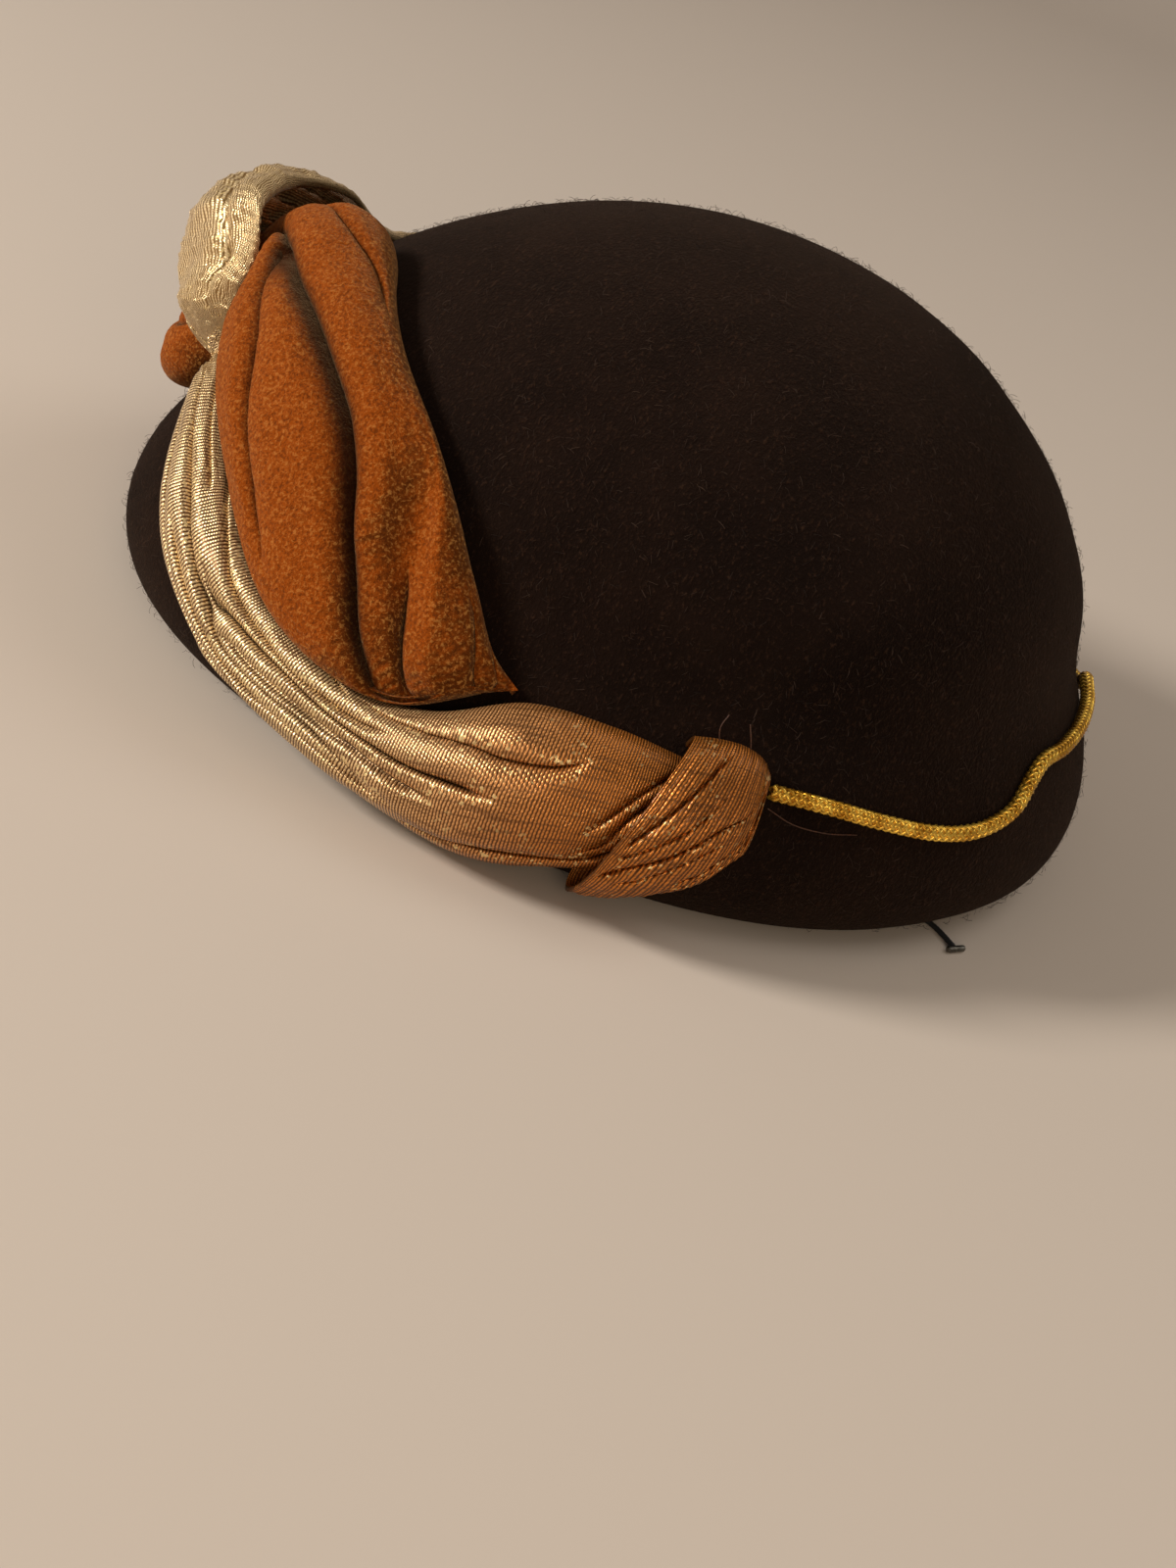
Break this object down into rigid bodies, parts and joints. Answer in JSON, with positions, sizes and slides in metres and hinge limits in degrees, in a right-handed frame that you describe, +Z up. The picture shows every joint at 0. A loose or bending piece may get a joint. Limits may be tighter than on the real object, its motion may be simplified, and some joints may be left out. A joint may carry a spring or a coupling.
{
  "type": "domed felt hat",
  "caption": "Small domed felt hat with a rolled rim, a twisted sash of gold cloth and velvet round the front, and a braided cord across the back.",
  "frame": {"origin": "middle of the hat's bounding box, on the surface it rests on, the loose elastic left out", "axes": "+X to the wearer's left, -Y towards the face, +Y towards the back of the head, +Z up"},
  "size_m": [0.2338, 0.2472, 0.1145],
  "materials": {
    "felt": "dark brown fur felt, matt and fuzzy",
    "gold_cloth": "woven metallic gold cloth",
    "velvet": "rust orange velvet",
    "braid": "bright metallic gold braid",
    "elastic": "black covered elastic",
    "tip_metal": "dark plated bar"
  },
  "bodies": {
    "root": {"felt_cap": "felt", "gold_sash": "gold_cloth", "velvet_sash": "velvet", "gold_end_wrap": "gold_cloth", "velvet_end_wrap": "velvet", "braid_cord": "braid", "elastic_cord": "elastic", "elastic_tip": "tip_metal"}
  },
  "joints": []
}
